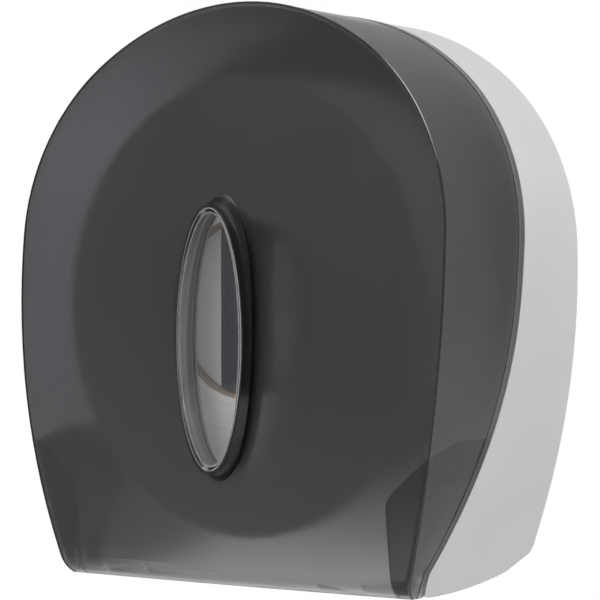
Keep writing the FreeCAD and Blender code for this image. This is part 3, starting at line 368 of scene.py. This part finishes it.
NODE_LOOKS = {
    "base": ["base_shell"],
    "cover": ["front_cover"],
    "lens": ["window_lens"],
    "ear": ["hinge_ear_left", "hinge_ear_right"],
    "dark": ["lens_retainer"],
    "black": ["hinge_pin_left", "hinge_pin_right"],
    "grey": ["spindle_post"],
    "hub": ["core_hub", "spindle_cap"],
    "bush": ["hub_bush"],
    "core": ["roll_core"],
    "tissue": ["tissue_roll"],
    "strip": ["tear_strip_left", "tear_strip_right"],
    "screw": ["spindle_screws", "keeper_screws", "cam_screw"],
    "black_screw": ["cap_screw"],
    "keeper": ["lock_keeper", "lock_cam"],
    "lock": ["lock_barrel", "lock_nut", "lock_plug"],
}


# Pieces that only the looks need


def add_piece(name, data, body, look):
    thing = bpy.data.objects.new(name, data)
    bpy.context.scene.collection.objects.link(thing)
    thing.data.materials.append(look)
    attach(thing, body)
    return thing


def is_crease(edge):
    """Whether an edge parts the cover's front or lip from its arched side."""
    if len(edge.link_faces) != 2 or not edge.is_convex or edge.calc_face_angle() < CREASE_ANGLE:
        return False
    normals = [face.normal for face in edge.link_faces]
    fronts = [abs(normal.x) < FRONT_SIDEWAYS and normal.z < FRONT_UPWARD for normal in normals]
    level = [abs(normal.y) < SIDE_FORWARD for normal in normals]
    middle = (edge.verts[0].co + edge.verts[1].co) / 2
    beside_window = abs(middle.x) < WINDOW_REACH and middle.z < CREASE_DEPTH
    parts = (fronts[0] and level[1]) or (fronts[1] and level[0])
    placed = middle.y < -CREASE_DEPTH and middle.z > CREASE_FOOT and not beside_window
    return fronts[0] != fronts[1] and parts and placed


def crease_route():
    """The crease's corners in order, from one foot over the crown to the other.

    Each is its place, the direction out of the corner and the direction across the strip.
    """
    mesh = bmesh.new()
    mesh.from_mesh(NODES["front_cover"].data)
    bmesh.ops.remove_doubles(mesh, verts=mesh.verts, dist=WELD_DISTANCE)
    beside = {}
    for edge in mesh.edges:
        if is_crease(edge):
            for vertex in edge.verts:
                beside.setdefault(vertex, []).append(edge)
    crown = max(beside, key=lambda vertex: vertex.co.z)
    halves = []
    for edge in beside[crown]:
        vertex, half = crown, []
        while edge:
            vertex = edge.other_vert(vertex)
            half.append(vertex)
            edge = next((other for other in beside[vertex] if other is not edge), None)
        halves.append(half)
    corners = halves[0][::-1] + [crown] + halves[1]
    if corners[0].co.x > 0:
        corners.reverse()
    route = []
    for number, corner in enumerate(corners):
        before = corners[max(number - 1, 0)].co
        after = corners[min(number + 1, len(corners) - 1)].co
        normals = (face.normal for edge in beside[corner] for face in edge.link_faces)
        out = sum(normals, Vector()).normalized()
        route.append((corner.co.copy(), out, (after - before).cross(out).normalized()))
    mesh.free()
    return route


def painted_crease_shade(look):
    """A fine near-black strip along the crease, painted shade for its dark line, with a narrow flat along
    its top.
    """
    profile = [
        (-CREASE_STRIP_HALF_WIDTH, -CREASE_STRIP_HALF_WIDTH), (-CREASE_STRIP_FLAT, CREASE_STRIP_RISE),
        (CREASE_STRIP_FLAT, CREASE_STRIP_RISE), (CREASE_STRIP_HALF_WIDTH, -CREASE_STRIP_HALF_WIDTH), (0, -CREASE_STRIP_ROOT),
    ]
    route = crease_route()
    points = [place + across * side + out * rise
              for place, out, across in route for side, rise in profile]
    count = len(profile)
    faces = [tuple(range(count)), tuple(reversed(range(len(points) - count, len(points))))]
    for ring in range(len(route) - 1):
        for number in range(count):
            near = ring * count + number
            side = ring * count + (number + 1) % count
            faces.append((near, near + count, side + count, side))
    mesh = bpy.data.meshes.new("painted_crease_shade")
    mesh.from_pydata(points, [], faces)
    mesh.update()
    mesh.shade_smooth()
    mesh.set_sharp_from_angle(angle=CRISP_ANGLE)
    add_piece("painted_crease_shade", mesh, "cover", look)


def turned_mesh(name, profile):
    """A closed form turned round the spindle's axis; the profile is (radius, depth) pairs."""
    rings = []
    for step in range(TURN_STEPS):
        turn = 2 * math.pi * step / TURN_STEPS
        rings.append([(r * math.cos(turn), -depth, r * math.sin(turn)) for r, depth in profile])
    count = len(profile)
    faces = []
    for step in range(TURN_STEPS):
        here = step * count
        ahead = (step + 1) % TURN_STEPS * count
        for number in range(count):
            following = (number + 1) % count
            faces.append((here + number, here + following, ahead + following, ahead + number))
    mesh = bpy.data.meshes.new(name)
    mesh.from_pydata([point for ring in rings for point in ring], [], faces)
    mesh.update()
    mesh.shade_smooth()
    mesh.set_sharp_from_angle(angle=TURNED_CRISP_ANGLE)
    return mesh


def blade_outline():
    """Half the blade's rim and half its bore, from straight down round the right to straight up."""
    corner = math.acos(BLADE_HALF_WIDTH / BLADE_REACH)
    rim, bore = [], []
    for step in range(BLADE_STEPS + 1):
        turn = math.pi * (step / BLADE_STEPS - 0.5)
        reach = BLADE_REACH if abs(turn) > corner else BLADE_HALF_WIDTH / math.cos(turn)
        rim.append((reach * math.cos(turn), reach * math.sin(turn)))
        bore.append((BLADE_BORE * math.cos(turn), BLADE_BORE * math.sin(turn)))
    return rim, bore


def hub_blade(look):
    """The broad flat blade that spans the core's bore, with its bore over the spindle."""
    rim, bore = blade_outline()
    rim += [(-across, up) for across, up in reversed(rim[1:-1])]
    bore += [(-across, up) for across, up in reversed(bore[1:-1])]
    points = []
    for depth in (BLADE_FRONT, BLADE_FRONT - BLADE_THICKNESS):
        for outline in (rim, bore):
            points += [(across, -depth, up) for across, up in outline]
    count = len(rim)
    front_rim, front_bore, back_rim, back_bore = (count * number for number in range(4))
    faces = []
    for near in range(count):
        far = (near + 1) % count
        faces.append((front_rim + near, front_rim + far, front_bore + far, front_bore + near))
        faces.append((back_rim + far, back_rim + near, back_bore + near, back_bore + far))
        faces.append((front_rim + far, front_rim + near, back_rim + near, back_rim + far))
        faces.append((front_bore + near, front_bore + far, back_bore + far, back_bore + near))
    mesh = bpy.data.meshes.new("hub_blade")
    mesh.from_pydata(points, [], faces)
    blade = add_piece("hub_blade", mesh, "roll", look)
    bevel = blade.modifiers.new("soft_edges", "BEVEL")
    bevel.width = BLADE_EDGE
    bevel.segments = 2


def hub_web(look):
    """The flat web across the hub's front, with its bore over the spindle."""
    front = WEB_DEPTH
    back = WEB_DEPTH - WEB_THICKNESS
    profile = [(WEB_BORE, back), (WEB_BORE, front), (WEB_RADIUS, front), (WEB_RADIUS, back)]
    add_piece("hub_web", turned_mesh("hub_web", profile), "roll", look)


def dress_nodes(looks):
    """Give each of the frame's nodes its material and smooth shading with crisp edges."""
    for look, names in NODE_LOOKS.items():
        for name in names:
            thing = NODES[name]
            thing.data.materials.clear()
            thing.data.materials.append(looks[look])
            thing.data.shade_smooth()
            thing.data.set_sharp_from_angle(angle=CRISP_ANGLE)


# Studio


def room():
    """An even pale room, seen as plain white directly and through the clear pieces."""
    world = bpy.data.worlds.new("room")
    bpy.context.scene.world = world
    world.use_nodes = True
    tree = world.node_tree
    tree.nodes.clear()
    out = tree.nodes.new("ShaderNodeOutputWorld")
    seen = tree.nodes.new("ShaderNodeBackground")
    seen.inputs["Strength"].default_value = SEEN_LIGHT
    lit = tree.nodes.new("ShaderNodeBackground")
    lit.inputs["Strength"].default_value = ROOM_LIGHT
    for background in (seen, lit):
        background.inputs["Color"].default_value = WHITE
    path = tree.nodes.new("ShaderNodeLightPath")
    mix = tree.nodes.new("ShaderNodeMixShader")
    either = tree.nodes.new("ShaderNodeMath")
    either.operation = "MAXIMUM"
    tree.links.new(path.outputs["Is Camera Ray"], either.inputs[0])
    tree.links.new(path.outputs["Is Transmission Ray"], either.inputs[1])
    tree.links.new(either.outputs[0], mix.inputs[0])
    tree.links.new(lit.outputs[0], mix.inputs[1])
    tree.links.new(seen.outputs[0], mix.inputs[2])
    tree.links.new(mix.outputs[0], out.inputs["Surface"])


def floor():
    """A pale floor well below the dispenser."""
    half = FLOOR_HALF
    low = -SPINDLE_TO_FLOOR
    mesh = bpy.data.meshes.new("floor")
    corners = [(-half, -half, low), (half, -half, low), (half, half, low), (-half, half, low)]
    mesh.from_pydata(corners, [], [(0, 1, 2, 3)])
    ground = bpy.data.objects.new("floor", mesh)
    bpy.context.scene.collection.objects.link(ground)
    ground.data.materials.append(floor_material())


def floor_material():
    """Pale grey where it lights the dispenser, and plain white where it is seen."""
    shader = Shader("floor")
    pale = [(0.3, (0.66, 0.66, 0.66)), (0.7, (0.68, 0.68, 0.68))]
    shader.colour(shader.ramp(shader.noise(3.0), pale))
    shader.set(Roughness=0.9)
    glow = shader.add("ShaderNodeEmission", Color=WHITE, Strength=SEEN_LIGHT)
    path = shader.add("ShaderNodeLightPath")
    seen = path.outputs["Is Camera Ray"]
    for ray in ("Is Transmission Ray", "Is Glossy Ray"):
        seen = shader.work_out("MAXIMUM", seen, path.outputs[ray])
    mix = shader.add("ShaderNodeMixShader")
    shader.join(seen, mix.inputs[0])
    shader.join(shader.surface.outputs[0], mix.inputs[1])
    shader.join(glow.outputs[0], mix.inputs[2])
    shader.join(mix.outputs[0], shader.output.inputs["Surface"])
    return shader.material


def lamp(name, place, target, size, power):
    """A soft rectangular lamp aimed at a point."""
    light = bpy.data.lights.new(name, "AREA")
    light.shape = "RECTANGLE"
    light.size, light.size_y = size
    light.energy = power
    thing = bpy.data.objects.new(name, light)
    thing.location = place
    aim = Vector(target) - Vector(place)
    thing.rotation_euler = aim.to_track_quat("-Z", "Y").to_euler()
    bpy.context.scene.collection.objects.link(thing)


def lamps():
    """Each has a place, the point it is aimed at, its width and height, and its power in watts."""
    middle = (0, -0.05, 0)
    lamp("overhead", (-0.3, 0.2, 1.5), middle, (0.9, 0.7), 1.2)
    lamp("back_left", (-1.6, 1.9, 0.25), (0, -0.05, 0.12), (1.2, 0.8), 5.0)
    lamp("right", (1.9, 0.1, 0.6), (0.1, -0.05, 0), (1.2, 1.4), 9.6)
    # This one draws the bright hairline on the crease strip's flat, to the right of the crown
    lamp("upper_front", (0.82, -0.62, 1.86), middle, (0.25, 2.0), 20.0)


def camera():
    data = bpy.data.cameras.new("camera")
    data.lens = LENS_MM
    data.sensor_width = SENSOR_MM
    data.clip_end = VIEW_REACH
    thing = bpy.data.objects.new("camera", data)
    thing.location = CAMERA_PLACE
    thing.rotation_euler = (math.radians(90 - CAMERA_DROP), 0, math.radians(CAMERA_TURN))
    bpy.context.scene.collection.objects.link(thing)
    bpy.context.scene.camera = thing


looks = make_materials()
dress_nodes(looks)
# The near-black strip along the crease is painted shade for the crease's dark line
painted_crease_shade(looks["crease_shade_look"])
hub_web(looks["web"])
hub_blade(looks["hub"])
room()
floor()
lamps()
camera()
bpy.context.scene.view_settings.view_transform = "Standard"
